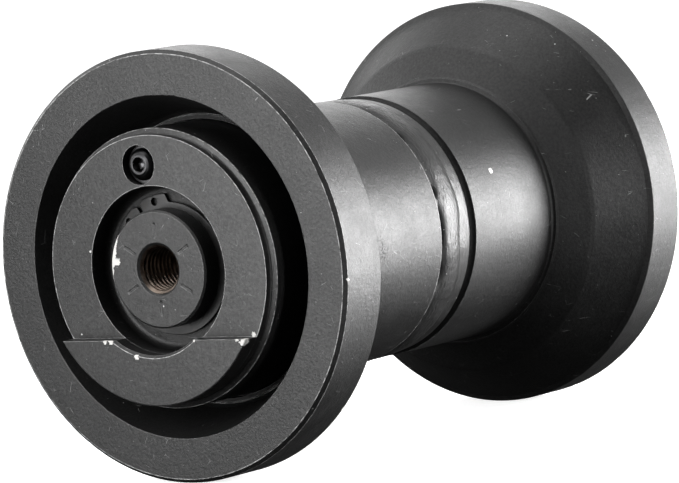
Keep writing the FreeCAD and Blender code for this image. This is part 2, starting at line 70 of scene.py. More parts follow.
# Sizes repeated from the CAD source.
HUB = 55.7 * MM
RIM_WIDTH = {"near": 24.9 * MM, "far": 22.2 * MM}
JOINT = 2.0 * MM
HALF_WELD = 12.7 * MM
WELL = 33.9 * MM
WELL_FLOOR = FACE + 3.95 * MM
WELL_EDGE = 1.1 * MM
COLLAR_FRONT = FACE - 7.1 * MM
COLLAR_TAPER = 2.5 * MM
LEDGE = -27.6 * MM
SHAFT = 24.0 * MM
JOURNAL = 30.0 * MM
WAIST = 28.0 * MM
THREAD_MINOR = 8.65 * MM
HOLE_DEPTH = 42.0 * MM
HOLE_EDGE = 2.3 * MM

# Sizes of the visual model alone.
RIM_EDGE = 1.5 * MM
SHOULDER = FACE - 3.1 * MM
BEAD_NEAR = JOINT - HALF_WELD
BEAD_FAR = JOINT + 10.1 * MM
THREAD_MAJOR = 10.0 * MM
THREAD_PITCH = 2.5 * MM


# ---------------------------------------------------------------- meshes made of rings


def soften(corners, steps=4):
    """Closed outline of (a, b, rounding) corners, each turned into a short arc of points."""
    points = [np.array(corner[:2], float) for corner in corners]
    outline = []
    for index, corner in enumerate(corners):
        here = points[index]
        back = points[index - 1] - here
        ahead = points[(index + 1) % len(points)] - here
        back_length, ahead_length = np.linalg.norm(back), np.linalg.norm(ahead)
        back, ahead = back / back_length, ahead / ahead_length
        half = math.acos(np.clip(back @ ahead, -1, 1)) / 2
        rounding = corner[2]
        if rounding == 0 or half > math.radians(89.5):
            outline.append(tuple(here))
            continue
        reach = min(rounding / math.tan(half), 0.48 * min(back_length, ahead_length))
        rounding = reach * math.tan(half)
        middle = (back + ahead) / np.linalg.norm(back + ahead)
        centre = here + middle * rounding / math.sin(half)
        start = here + back * reach - centre
        end = here + ahead * reach - centre
        turn = math.acos(np.clip(start @ end / rounding**2, -1, 1))
        for step in range(steps + 1):
            share = step / steps
            arm = math.sin((1 - share) * turn) * start + math.sin(share * turn) * end
            outline.append(tuple(centre + arm / math.sin(turn)))
    return outline


class RingMesh:
    """Points in rings about the Y axis, with each ring joined to the next."""

    def __init__(self):
        self.points = []
        self.faces = []

    def ring(self, place, radius, count=SEGMENTS):
        """One ring.  Place and radius are a number each, or an array with one value per point."""
        angle = np.arange(count) * TAU / count
        place = np.broadcast_to(place, count)
        first = len(self.points)
        self.points += zip(radius * np.cos(angle), place, radius * np.sin(angle))
        return range(first, first + count)

    def spot(self, place):
        """One point on the axis."""
        self.points.append((0.0, place, 0.0))
        return range(len(self.points) - 1, len(self.points))

    def join(self, one, other):
        """Faces between two rings, of which one may have several times the other's points."""
        few, many = sorted((one, other), key=len)
        ratio = len(many) // len(few)
        if len(few) == 1:
            for index in range(len(many)):
                self.faces.append((few[0], many[index], many[(index + 1) % len(many)]))
            return
        for index in range(len(few)):
            across = [many[(index * ratio + step) % len(many)] for step in range(ratio + 1)]
            self.faces.append((few[index], *across, few[(index + 1) % len(few)]))

    def chain(self, rings, closed=False):
        for one, other in zip(rings, rings[1:]):
            self.join(one, other)
        if closed:
            self.join(rings[-1], rings[0])

    def mirror_half(self):
        """Add the same points and faces turned half a turn about Z."""
        count = len(self.points)
        self.points += [(-x, -y, z) for x, y, z in self.points]
        self.faces += [tuple(index + count for index in face) for face in self.faces]


def make_piece(name, points, faces, material):
    """Mesh object with shared points merged and its faces turned outwards."""
    mesh = bpy.data.meshes.new(name)
    mesh.from_pydata([tuple(point) for point in points], [], faces)
    work = bmesh.new()
    work.from_mesh(mesh)
    bmesh.ops.remove_doubles(work, verts=work.verts, dist=0.002 * MM)
    bmesh.ops.recalc_face_normals(work, faces=work.faces)
    for face in work.faces:
        face.smooth = True
    work.to_mesh(mesh)
    work.free()
    piece = bpy.data.objects.new(name, mesh)
    bpy.context.collection.objects.link(piece)
    piece.data.materials.append(material)
    return piece


def weigh_normals(piece):
    """Keep wide faces flat-shaded up to their rounded edges."""
    modifier = piece.modifiers.new("weighted_normals", "WEIGHTED_NORMAL")
    modifier.weight = 80
    modifier.keep_sharp = True


def turn_about_z(piece, angle):
    """Turn the piece's mesh about the Z axis."""
    piece.data.transform(Matrix.Rotation(angle, 4, "Z"))


def settle(piece, body, slot, *nodes):
    """Put a finished piece on the body it rides on and hide the CAD nodes it stands for. The slot is not
    used.
    """
    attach(piece, body)
    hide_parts(*nodes)


def lathe(name, corners, material, steps=4):
    """Solid of revolution with rounded corners."""
    work = RingMesh()
    rings = [work.ring(y, r) for y, r in soften(corners, steps)]
    work.chain(rings, closed=True)
    return make_piece(name, work.points, work.faces, material)


def apply_modifiers(piece):
    """Replace the piece's mesh with the result of its modifiers."""
    graph = bpy.context.evaluated_depsgraph_get()
    mesh = bpy.data.meshes.new_from_object(piece.evaluated_get(graph))
    piece.modifiers.clear()
    piece.data = mesh


def cut_with(piece, cutters):
    """Cut each cutter's shape out of the piece, and remove the cutters."""
    for cutter in cutters:
        modifier = piece.modifiers.new("cut", "BOOLEAN")
        modifier.operation = "DIFFERENCE"
        modifier.solver = "EXACT"
        modifier.object = cutter
    apply_modifiers(piece)
    for cutter in cutters:
        bpy.data.objects.remove(cutter)


def round_cut_edges(piece, width):
    """Bevel the edges that are still sharp."""
    modifier = piece.modifiers.new("bevel", "BEVEL")
    modifier.width = width
    modifier.segments = 3
    modifier.limit_method = "ANGLE"
    modifier.angle_limit = math.radians(38)
    modifier.harden_normals = False
    apply_modifiers(piece)


# ---------------------------------------------------------------- materials


class Nodes:
    """A material's node tree, built one node a line."""

    def __init__(self, name):
        self.material = bpy.data.materials.new(name)
        self.material.use_nodes = True
        self.tree = self.material.node_tree
        self.tree.nodes.clear()
        self.place = self.add("TexCoord").outputs["Object"]

    def add(self, kind, inputs=None, **settings):
        node = self.tree.nodes.new("ShaderNode" + kind)
        for key, value in settings.items():
            setattr(node, key, value)
        for key, value in (inputs or {}).items():
            if isinstance(value, bpy.types.NodeSocket):
                self.tree.links.new(value, node.inputs[key])
            else:
                node.inputs[key].default_value = value
        return node

    def math(self, operation, *values, clamp=False):
        inputs = dict(enumerate(values))
        return self.add("Math", inputs, operation=operation, use_clamp=clamp).outputs[0]

    def vector(self, operation, *values, output=0):
        return self.add("VectorMath", dict(enumerate(values)), operation=operation).outputs[output]

    def noise(self, size, detail=3.0, stretch=(1, 1, 1), roughness=0.5, shift=0.0):
        """Noise whose blobs are about the given size across."""
        scaled = self.vector("MULTIPLY", self.place, tuple(1 / (size * s) for s in stretch))
        moved = self.vector("ADD", scaled, (shift, shift, shift))
        inputs = {"Vector": moved, "Scale": 1.0, "Detail": detail, "Roughness": roughness}
        return self.add("TexNoise", inputs).outputs["Fac"]

    def window(self, value, low, high):
        """0 below low, 1 above high, smooth between."""
        inputs = {"Value": value, "From Min": low, "From Max": high}
        return self.add("MapRange", inputs, interpolation_type="SMOOTHSTEP").outputs["Result"]

    def span(self, value, low, high):
        """A 0 to 1 value moved into the range low to high."""
        return self.add("MapRange", {"Value": value, "To Min": low, "To Max": high}).outputs["Result"]

    def mix(self, share, one, other):
        node = self.add("Mix", data_type="RGBA")
        for index, value in ((0, share), (6, one), (7, other)):
            if isinstance(value, bpy.types.NodeSocket):
                self.tree.links.new(value, node.inputs[index])
            elif index == 0:
                node.inputs[index].default_value = value
            else:
                node.inputs[index].default_value = (*value, 1)
        return node.outputs[2]

    def blend(self, share, one, other):
        """Like mix, for plain numbers."""
        return self.add("Mix", {0: share, 2: one, 3: other}, data_type="FLOAT").outputs[0]

    def specks(self, cell, radius, share):
        """Round spots, at most one per cell, in the given share of the cells."""
        scaled = self.vector("MULTIPLY", self.place, (1 / cell, 1 / cell, 1 / cell))
        dots = self.add("TexVoronoi", {"Vector": scaled, "Scale": 1.0})
        pick = self.add("SeparateColor", {"Color": dots.outputs["Color"]}).outputs[0]
        near = self.window(dots.outputs["Distance"], radius / cell, radius / cell * 0.6)
        return self.math("MULTIPLY", near, self.math("LESS_THAN", pick, share))

    def edges(self, width):
        """Mask of the convex and concave edges within the given width."""
        rounded = self.add("Bevel", {"Radius": width}, samples=4).outputs[0]
        sharp = self.add("NewGeometry").outputs["Normal"]
        alike = self.vector("DOT_PRODUCT", rounded, sharp, output="Value")
        return self.window(alike, 0.995, 0.90)

    def scratches(self, cell, width):
        """Thin straight marks: stretches of the borders between long cells."""
        tilted = self.add("Mapping", {"Vector": self.place, "Rotation": (0.5, 0.35, 0.8)}).outputs[0]
        scaled = self.vector("MULTIPLY", tilted, (1 / cell, 0.25 / cell, 1 / cell))
        cells = self.add("TexVoronoi", {"Vector": scaled, "Scale": 1.0}, feature="DISTANCE_TO_EDGE")
        line = self.window(cells.outputs["Distance"], width / cell, width / cell * 0.4)
        kept = self.window(self.noise(cell * 0.8, detail=2, shift=6.6), 0.60, 0.68)
        return self.math("MULTIPLY", line, kept)

    def spot(self, centre, radius, ragged=1.1, blur=0.08):
        """Patch with a ragged outline round a place in the frame."""
        away = self.vector("DISTANCE", self.place, tuple(centre), output="Value")
        reach = self.math("DIVIDE", away, radius)
        rough = self.span(self.noise(radius * 0.7, detail=5, roughness=0.6), -ragged, ragged)
        return self.window(self.math("ADD", reach, rough), 1.0, 1.0 - blur)

    def round_axis(self):
        """The surface point's x, y and z, and its distance from the Y axis."""
        across, along, up = self.add("SeparateXYZ", {0: self.place}).outputs
        squares = self.math("ADD", self.math("MULTIPLY", across, across), self.math("MULTIPLY", up, up))
        return across, along, up, self.math("SQRT", squares)

    def rubbed_and_highlight_lines(self, circles):
        """Thin broken lines round the Y axis, each given as (place, radius, half width): partly rubbed
        paint, partly painted highlight lines.
        """
        _, along, _, radius = self.round_axis()
        broken = self.noise(2.6 * MM, detail=5, roughness=0.7, shift=9.1)
        lines = []
        for place, line_radius, width in circles:
            sideways = self.math("ABSOLUTE", self.math("SUBTRACT", along, place))
            outward = self.math("ABSOLUTE", self.math("SUBTRACT", radius, line_radius))
            off = self.math("ADD", sideways, outward)
            lines.append(self.window(off, width, width * 0.3))
        return self.math("MULTIPLY", self.largest(lines), self.window(broken, 0.36, 0.62))

    def openness(self, reach):
        """1 out in the open, 0 deep in a gap, looking as far as the given reach."""
        return self.add("AmbientOcclusion", {"Distance": reach}, samples=6).outputs["AO"]

    def largest(self, masks):
        total = masks[0]
        for mask in masks[1:]:
            total = self.math("MAXIMUM", total, mask)
        return total

    def bump(self, *layers):
        """Stack of (height, depth in metres) layers."""
        normal = None
        for height, depth in layers:
            inputs = {"Height": height, "Distance": depth, "Strength": 1.0}
            if normal is not None:
                inputs["Normal"] = normal
            normal = self.add("Bump", inputs).outputs["Normal"]
        return normal

    def finish(self, **inputs):
        named = {key.replace("_", " "): value for key, value in inputs.items()}
        shader = self.add("BsdfPrincipled", named)
        output = self.add("OutputMaterial")
        self.tree.links.new(shader.outputs[0], output.inputs["Surface"])
        return self.material


BARE = (0.62, 0.61, 0.59)
DUST = (0.55, 0.55, 0.55)
# Lighter grey for sharp edges: partly paint rubbed thin, partly a painted edge highlight.
THIN_PAINT_AND_EDGE_HIGHLIGHT = (0.34, 0.34, 0.34)
# Lighter grey for lines on turned edges: partly paint rubbed through, partly painted highlight lines.
RUBBED_AND_HIGHLIGHT_LINE = (0.36, 0.36, 0.36)


def paint_dust(nodes):
    """Mask of dust specks and fine scratches, thicker in some patches."""
    patchy = nodes.window(nodes.noise(26 * MM, detail=3, shift=3.1), 0.40, 0.64)
    specks = nodes.largest([
        nodes.specks(9 * MM, 0.42 * MM, 0.30),
        nodes.specks(3.4 * MM, 0.22 * MM, 0.26),
        nodes.specks(1.9 * MM, 0.15 * MM, 0.10),
    ])
    specks = nodes.math("MULTIPLY", specks, nodes.span(patchy, 0.15, 0.9))
    scratches = nodes.math("MULTIPLY", nodes.scratches(7 * MM, 0.05 * MM), nodes.span(patchy, 0.1, 0.5))
    return nodes.math("MAXIMUM", specks, scratches)


def rubbed_and_highlight_edges(nodes, edge_rub_and_highlight):
    """Mask of the sharp edges, broken up along their length: partly thin, rubbed paint and partly a painted
    edge highlight.
    """
    edge = nodes.edges(0.45 * MM)
    broken = nodes.window(nodes.noise(3.5 * MM, detail=5, roughness=0.7, shift=8.0), 0.44, 0.60)
    return nodes.math("MULTIPLY", edge, nodes.span(broken, 0.35 * edge_rub_and_highlight, edge_rub_and_highlight), clamp=True)


def paint_grain(nodes, fine, grain):
    """Bump layers of the paint itself: waves, orange peel, fine grit and dust under the paint."""
    return [
        (nodes.noise(3.0 * MM, detail=2), 0.05 * MM * grain),
        (fine, 0.08 * MM * grain),
        (nodes.noise(0.45 * MM, detail=2, roughness=0.7), 0.022 * MM * grain),
        (nodes.specks(3.4 * MM, 0.3 * MM, 0.18), 0.05 * MM),
    ]


def specular_with_painted_gap_shade(nodes):
    """Specular level: mottled, and lowered by ambient occlusion in the gaps, a painted shade that darkens
    them.
    """
    gap_shaded_specular = nodes.span(nodes.window(nodes.openness(14 * MM), 0.25, 0.75), 0.10, 0.5)
    mottle = nodes.window(nodes.noise(1.1 * MM, detail=3, roughness=0.6, shift=7.3), 0.35, 0.65)
    return nodes.math("MULTIPLY", gap_shaded_specular, nodes.span(mottle, 0.86, 1.14))


def rust_pits(nodes, places):
    """Mask of fine pits in soft-edged patches round the given (centre, radius) places."""
    patch = nodes.largest([nodes.spot(centre, radius, 0.8, 1.0) for centre, radius in places])
    pits = nodes.noise(0.9 * MM, detail=3, roughness=0.6, shift=2.2)
    return nodes.math("MULTIPLY", nodes.window(pits, 0.56, 0.66), patch)


def paint(name, rough=0.42, grain=1.0, dark=0.007, edge_rub_and_highlight=1.0, chips=(), worn=None, pitted=(), lines=()):
    """Satin black paint on forged or turned steel, with dust, fine scratches, smudges, edges lightened
    partly by rubbing and partly as a painted highlight, and painted shade in the gaps.
    """
    nodes = Nodes(name)
    cloud = nodes.noise(45 * MM, detail=5)
    fine = nodes.noise(1.1 * MM, detail=5, roughness=0.7)
    shade = nodes.math("ADD", nodes.math("MULTIPLY", cloud, 0.5), nodes.math("MULTIPLY", fine, 0.5))
    colour = nodes.mix(nodes.window(shade, 0.3, 0.7), (dark * 0.5,) * 3, (dark * 1.8,) * 3)

    colour = nodes.mix(paint_dust(nodes), colour, DUST)
    # Lighter edges: partly rubbed paint, partly a painted edge highlight.
    colour = nodes.mix(rubbed_and_highlight_edges(nodes, edge_rub_and_highlight), colour, THIN_PAINT_AND_EDGE_HIGHLIGHT)
    # Lines on turned edges: partly rubbed paint, partly painted highlight lines.
    if lines:
        colour = nodes.mix(nodes.rubbed_and_highlight_lines(lines), colour, RUBBED_AND_HIGHLIGHT_LINE)

    smudge = nodes.noise(11 * MM, detail=5, roughness=0.6, shift=5.5)
    smudge = nodes.math("ADD", nodes.math("MULTIPLY", smudge, 0.55), nodes.math("MULTIPLY", fine, 0.45))
    gloss = nodes.span(smudge, rough - 0.2, rough + 0.2)

    layers = paint_grain(nodes, fine, grain)
    if pitted:
        layers.append((rust_pits(nodes, pitted), 0.20 * MM))
    if chips or worn:
        masks = [nodes.spot(centre, radius) for centre, radius in chips]
        if worn:
            masks.append(worn(nodes))
        bare = nodes.largest(masks)
        colour = nodes.mix(bare, colour, BARE)
        gloss = nodes.blend(bare, gloss, 0.5)
        layers.append((bare, -0.06 * MM))
    return nodes.finish(
        Base_Color=colour,
        Roughness=gloss,
        Specular_IOR_Level=specular_with_painted_gap_shade(nodes),
        Normal=nodes.bump(*layers),
    )


def weld_paint():
    """The same paint pooled on weld metal: glossier, with ripples drawn out round the bead, edges lightened
    partly as a painted highlight, and painted shade in its gaps.
    """
    nodes = Nodes("weld_paint")
    cloud = nodes.noise(12 * MM, detail=4)
    colour = nodes.mix(nodes.window(cloud, 0.3, 0.7), (0.009,) * 3, (0.02,) * 3)
    dust = nodes.largest([nodes.specks(3 * MM, 0.24 * MM, 0.3), nodes.specks(1.4 * MM, 0.13 * MM, 0.14)])
    colour = nodes.mix(dust, colour, DUST)
    # Lighter grey on the bead's edges: partly rubbed paint, partly a painted edge highlight.
    edge = nodes.math("MULTIPLY", nodes.edges(0.4 * MM), nodes.window(cloud, 0.4, 0.6))
    colour = nodes.mix(edge, colour, (0.12, 0.12, 0.12))
    gloss = nodes.span(nodes.noise(5 * MM, detail=4, shift=2.0), 0.24, 0.46)
    ripple = nodes.noise(1.3 * MM, detail=4, stretch=(4, 1, 4))
    fine = nodes.noise(0.7 * MM, detail=4, roughness=0.7)
    grit = nodes.specks(1.5 * MM, 0.3 * MM, 0.35)
    normal = nodes.bump((ripple, 0.16 * MM), (fine, 0.09 * MM), (grit, 0.10 * MM))
    # Specular level lowered by ambient occlusion in the gaps: painted shade.
    gap_shaded_specular = nodes.span(nodes.window(nodes.openness(4 * MM), 0.45, 0.85), 0.04, 0.5)
    return nodes.finish(Base_Color=colour, Roughness=gloss, Specular_IOR_Level=gap_shaded_specular, Normal=normal)


def metal(name, colour, rough, grain=0.004 * MM, stretch=(1, 1, 1), stain=(0.05, 0.04, 0.035), stained=0.25):
    """Bare or plated metal with machining marks and a stain in patches."""
    nodes = Nodes(name)
    cloud = nodes.noise(9 * MM, detail=5)
    lighter = tuple(part * 1.15 for part in colour)
    darker = tuple(part * 0.8 for part in colour)
    base = nodes.mix(nodes.window(cloud, 0.35, 0.65), darker, lighter)
    patches = nodes.window(nodes.noise(4 * MM, detail=5, shift=4.0), 0.62 - stained * 0.4, 0.72)
    base = nodes.mix(nodes.math("MULTIPLY", patches, stained * 2, clamp=True), base, stain)
    marks = nodes.noise(0.35 * MM, detail=3, stretch=stretch)
    rubbed = nodes.math("MULTIPLY", nodes.edges(0.3 * MM), 0.7)
    base = nodes.mix(rubbed, base, lighter)
    gloss = nodes.span(nodes.noise(2.5 * MM, detail=4, shift=1.0), rough - 0.08, rough + 0.1)
    return nodes.finish(
        Base_Color=base,
        Metallic=1.0,
        Roughness=gloss,
        Normal=nodes.bump((marks, grain), (patches, grain * 2)),
    )


def rubber(name):
    """Black nitrile with a faint bloom and moulding grain."""
    nodes = Nodes(name)
    bloom = nodes.window(nodes.noise(6 * MM, detail=4), 0.45, 0.7)
    colour = nodes.mix(bloom, (0.012, 0.012, 0.013), (0.03, 0.03, 0.032))
    gloss = nodes.span(bloom, 0.55, 0.7)
    normal = nodes.bump((nodes.noise(0.5 * MM, detail=3), 0.01 * MM))
    return nodes.finish(Base_Color=colour, Roughness=gloss, Normal=normal)


def end_face_wear(nodes):
    """Bare crescent along the shaft's left edge, and a blob beside it, on the near end only."""
    across, along, up, radius = nodes.round_axis()
    angle = nodes.math("ARCTAN2", up, nodes.math("MULTIPLY", across, -1.0))
    ragged = nodes.noise(2.0 * MM, detail=5, roughness=0.65)
    aside = nodes.math("ABSOLUTE", nodes.math("SUBTRACT", angle, math.radians(14)))
    taper = nodes.window(aside, math.radians(30), math.radians(4))
    depth = nodes.math("MULTIPLY", taper, nodes.math("MULTIPLY", ragged, 4.0 * MM))
    inner = nodes.math("SUBTRACT", SHAFT - 0.1 * MM, depth)
    on_edge = nodes.math("GREATER_THAN", radius, inner)
    on_end = nodes.math("LESS_THAN", along, SHAFT_TIP + 1.2 * MM)
    crescent = nodes.math("MULTIPLY", on_edge, on_end)
    crescent = nodes.math("MULTIPLY", crescent, nodes.math("GREATER_THAN", depth, 0.35 * MM))
    blob_at = (-20.5 * MM, SHAFT_TIP, 3.5 * MM)
    return nodes.math("MAXIMUM", crescent, nodes.spot(blob_at, 1.6 * MM))


def shell_pits():
    """Places on the shell where the paint sits over fine rust pits."""
    low = math.radians(-20)
    across, up = HUB * math.cos(low), HUB * math.sin(low)
    return [
        ((across, FACE + 66 * MM, up), 10 * MM),
        ((across * 0.95, FACE + 61 * MM, up * 1.5), 11 * MM),
        ((HUB, FACE + 69 * MM, -3 * MM), 7 * MM),
    ]


def shell_rubbed_and_highlight_lines():
    """Turned edges of the shell with lighter lines: partly paint rubbed through, partly a painted edge
    highlight.
    """
    return [
        (FACE, RIM - RIM_EDGE - 0.1 * MM, 0.32 * MM),
        (FACE + RIM_EDGE, RIM, 0.24 * MM),
        (FACE + RIM_WIDTH["near"] - 0.8 * MM, RIM, 0.30 * MM),
        (-FACE - RIM_WIDTH["far"] + 0.8 * MM, RIM, 0.30 * MM),
        (BEAD_NEAR - 0.1 * MM, HUB, 0.28 * MM),
    ]


def collar_rubbed_and_highlight_lines():
    """Turned edges of the near collar with lighter lines: partly paint rubbed through, partly a painted edge
    highlight.
    """
    front_edge = COLLAR - COLLAR_TAPER - 0.1 * MM
    return [
        (COLLAR_FRONT, front_edge, 0.26 * MM),
        (COLLAR_FRONT, WELL, 0.20 * MM),
        (SEGMENT_FRONT, WELL + WELL_EDGE, 0.34 * MM),
        (SEGMENT_FRONT, front_edge, 0.26 * MM),
        (SHOULDER, COLLAR - 0.1 * MM, 0.40 * MM),
    ]


def rim_chips():
    """Small bare nicks on the rim and the hub."""
    return [
        ((RIM, FACE + RIM_EDGE, -6.5 * MM), 0.9 * MM),
        ((RIM * 0.72, FACE + 24 * MM, -RIM * 0.69), 1.3 * MM),
        ((HUB * 0.93, FACE + 158 * MM, HUB * 0.36), 1.2 * MM),
    ]


def ledge_chips():
    """Places on the collar where the paint is knocked off."""
    ledge_right = math.sqrt((COLLAR - 2.9 * MM) ** 2 - LEDGE**2)
    return [
        ((ledge_right - 0.5 * MM, SEGMENT_FRONT + 0.6 * MM, LEDGE - 0.4 * MM), 2.4 * MM),
        ((ledge_right - 1.0 * MM, COLLAR_FRONT, LEDGE + 0.8 * MM), 1.0 * MM),
        ((ledge_right - 4.0 * MM, SEGMENT_FRONT, LEDGE), 1.0 * MM),
        ((21.0 * MM, SEGMENT_FRONT, LEDGE), 0.8 * MM),
        ((-24.5 * MM, SEGMENT_FRONT, LEDGE), 1.2 * MM),
        ((-21.5 * MM, SEGMENT_FRONT, -28.2 * MM), 1.1 * MM),
        ((-9.0 * MM, SEGMENT_FRONT, -34.4 * MM), 1.1 * MM),
        ((-33.9 * MM, COLLAR_FRONT, 8.0 * MM), 0.5 * MM),
    ]


shell_paint = paint("shell_paint", rough=0.42, grain=1.7, pitted=shell_pits(), chips=rim_chips(),
                    lines=shell_rubbed_and_highlight_lines())
collar_paint = paint("collar_paint", rough=0.37, grain=1.1, chips=ledge_chips(), edge_rub_and_highlight=1.3,
                     lines=collar_rubbed_and_highlight_lines())
shaft_paint = paint("shaft_paint", rough=0.42, grain=1.1, dark=0.009, edge_rub_and_highlight=1.6, worn=end_face_wear)
bead_paint = weld_paint()
thread_steel = metal("thread_steel", (0.22, 0.18, 0.15), 0.33, stain=(0.05, 0.022, 0.012), stained=0.5)
clip_steel = metal("clip_steel", (0.040, 0.040, 0.040), 0.36, stained=0.1)
plug_steel = metal("plug_steel", (0.055, 0.055, 0.057), 0.30, stained=0.1)
bronze = metal("bronze", (0.55, 0.36, 0.16), 0.32, stretch=(4, 1, 4), stain=(0.2, 0.1, 0.04))
seal_iron = metal("seal_iron", (0.36, 0.36, 0.37), 0.22, stretch=(4, 1, 4))
pin_steel = metal("pin_steel", (0.5, 0.5, 0.5), 0.25, stretch=(1, 4, 1))
nitrile = rubber("nitrile")


# ---------------------------------------------------------------- roller shell


def dents(angle, places):
    """Depth of small knocks round an edge, for an array of angles."""
    depth = np.zeros_like(angle)
    for middle, width, deep in places:
        away = (angle - middle + math.pi) % TAU - math.pi
        depth += deep * np.exp(-((away / width) ** 2))
    return depth


def knocks(count, widest, deepest):
    """Random knocks for dents: an angle, a half width as an angle, and a depth each."""
    return [
        (chance.uniform(0, TAU), chance.uniform(0.4, 1.0) * widest, chance.uniform(0.2, 1.0) * deepest)
        for _ in range(count)
    ]


def shell(end, turn):
    """Forged half of the roller with softened edges and small knocks along its rim."""
    joint = JOINT if end == "near" else -JOINT
    foot = FACE + 50.1 * MM
    rim_end = FACE + RIM_WIDTH[end]
    hub_end = joint - HALF_WELD
    groove_wall = [(hub_end + 0.3 * MM, HUB - 3.3 * MM, 0)] if end == "far" else []
    bushing_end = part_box("bushing_near")[1][1]
    seal_floor = FACE + 42.5 * MM
    bushing_seat = FACE + 48.3 * MM
    land = FACE + 27.6 * MM
    chamber_wall = FACE + 31.5 * MM
    corners = [
        (FACE, 69.7 * MM, 0.45 * MM),
        (FACE, RIM - RIM_EDGE, 0.25 * MM),
        (FACE + RIM_EDGE, RIM, 0.3 * MM),
        (rim_end - 1.1 * MM, RIM, 0.6 * MM),
        (rim_end, RIM - 2.2 * MM, 0.8 * MM),
        (FACE + 42.8 * MM, 71.0 * MM, 6 * MM),
        (foot, 58.3 * MM, 0.35 * MM),
        (foot + 0.8 * MM, 57.6 * MM, 0.3 * MM),
        (foot + 1.2 * MM, HUB, 1.8 * MM),
        (hub_end, HUB, 0.3 * MM),
        *groove_wall,
        (joint, 46.0 * MM, 0),
        (joint, 38.0 * MM, 0),
        (bushing_end, 38.0 * MM, 0),
        (bushing_end, 34.5 * MM, 0.2 * MM),
        (bushing_seat, 34.5 * MM, 0.2 * MM),
        (bushing_seat, 40.3 * MM, 0.2 * MM),
        (seal_floor, 40.3 * MM, 0.2 * MM),
        (seal_floor, 47.5 * MM, 0.4 * MM),
        (chamber_wall + 1.5 * MM, 47.5 * MM, 0.3 * MM),
        (chamber_wall, 49.0 * MM, 0.3 * MM),
        (chamber_wall, 57.4 * MM, 0.3 * MM),
        (land, 57.4 * MM, 0.3 * MM),
        (land, 59.1 * MM, 0.2 * MM),
        (land + 0.8 * MM, 59.5 * MM, 0.2 * MM),
        (land, 59.9 * MM, 0.2 * MM),
        (land - 1.4 * MM, 61.0 * MM, 1.2 * MM),
    ]
    angle = np.arange(SEGMENTS) * TAU / SEGMENTS
    rim_knocks = dents(angle, knocks(16, 0.022, 0.35 * MM))
    mouth_knocks = dents(angle, knocks(9, 0.02, 0.25 * MM))
    work = RingMesh()
    rings = []
    for place, radius in soften(corners):
        close = max(0.0, 1 - abs(place - FACE) / (3 * MM))
        if radius > RIM - 2.5 * MM:
            radius = radius - rim_knocks * close
        elif radius < 72 * MM and close > 0:
            radius = radius + mouth_knocks * close
        rings.append(work.ring(place, radius))
    work.chain(rings, closed=True)
    piece = make_piece(f"shell_{end}_forging", work.points, work.faces, shell_paint)
    turn_about_z(piece, turn)
    weigh_normals(piece)
    settle(piece, "roller", "shell_paint", f"shell_{end}")


# ---------------------------------------------------------------- weld bead


def wander(angle, sizes, height):
    """Smooth random line round a full turn, made of waves with the given counts per turn."""
    line = np.zeros_like(angle)
    for count in sizes:
        line += np.sin(angle * count + chance.uniform(0, TAU)) * chance.uniform(0.5, 1.0)
    return line * height / len(sizes)


def weld_bead():
    """Weld bead: a hollow beside the near half, a rippled ridge, and a groove left open at the far half."""
    count = 720
    angle = np.arange(count) * TAU / count
    width = BEAD_FAR - BEAD_NEAR
    jag = np.abs(wander(angle, (23, 41, 67, 113, 171), 4.2 * MM)) - 0.9 * MM
    jag = np.clip(jag, 0.0, 1.6 * MM)
    valley = wander(angle, (5, 9, 17), 0.5 * MM)
    crest_place = wander(angle, (3, 7, 11), 2.4 * MM)
    lower = wander(angle, (4, 13, 19), 0.42 * MM)
    notch = dents(angle, [
        (0.0, 0.13, 3.4 * MM), (0.31, 0.035, 2.2 * MM), (0.80, 0.04, 2.0 * MM), (-0.34, 0.05, 2.2 * MM),
    ])
    # Share of the bead's width and the drop below the hub there.
    stations = [
        (0.00, 0.20), (0.015, 0.70), (0.04, 1.20), (0.07, 1.50), (0.12, 1.42), (0.17, 1.12), (0.23, 0.74),
        (0.29, 0.48), (0.35, 0.35), (0.43, 0.27), (0.51, 0.28), (0.58, 0.40), (0.64, 0.64), (0.685, 0.98),
        (0.715, 1.14), (0.75, 1.09), (0.82, 1.04), (0.88, 1.00), (0.94, 1.02), (0.975, 1.16), (1.00, 1.60),
    ]
    shares = [share for share, drop in stations]
    drops = [drop * MM for share, drop in stations]
    work = RingMesh()
    rings = []
    for share in (*np.linspace(0, 0.16, 25), *np.linspace(0.175, 1, 56)):
        middle = math.sin(math.pi * share)
        moved = np.clip(share - crest_place / width * middle, 0, 1)
        drop = np.interp(moved, shares, drops)
        hollow = math.exp(-(((share - 0.12) / 0.10) ** 2))
        ripple = wander(angle, (34, 59, 97), 0.12 * MM) * middle
        rough = chance.normal(0, 0.014 * MM, count) * middle
        radius = HUB - drop - valley * hollow - lower * middle * 0.5 + ripple + rough
        radius = radius - jag * math.exp(-(((share - 0.028) / 0.014) ** 2))
        radius = radius - notch * math.exp(-(((share - 0.10) / 0.045) ** 2))
        rings.append(work.ring(BEAD_NEAR + share * width, radius, count))
    rings.append(work.ring(BEAD_FAR + 0.3 * MM, HUB - 3.6 * MM, count))
    rings.append(work.ring(BEAD_FAR - 1.4 * MM, HUB - 4.2 * MM, count))
    rings.append(work.ring(JOINT, 45.9 * MM, count))
    work.chain(rings, closed=True)
    piece = make_piece("weld_bead_ridge", work.points, work.faces, bead_paint)
    settle(piece, "roller", "weld_paint", "weld_bead")


# ---------------------------------------------------------------- collar


def block(name, low, high):
    """Plain box used only as a cutter."""
    corners = [(x, y, z) for x in (low[0], high[0]) for y in (low[1], high[1]) for z in (low[2], high[2])]
    faces = [(0, 1, 3, 2), (4, 6, 7, 5), (0, 4, 5, 1), (2, 3, 7, 6), (0, 2, 6, 4), (1, 5, 7, 3)]
    return make_piece(name, corners, faces, collar_paint)


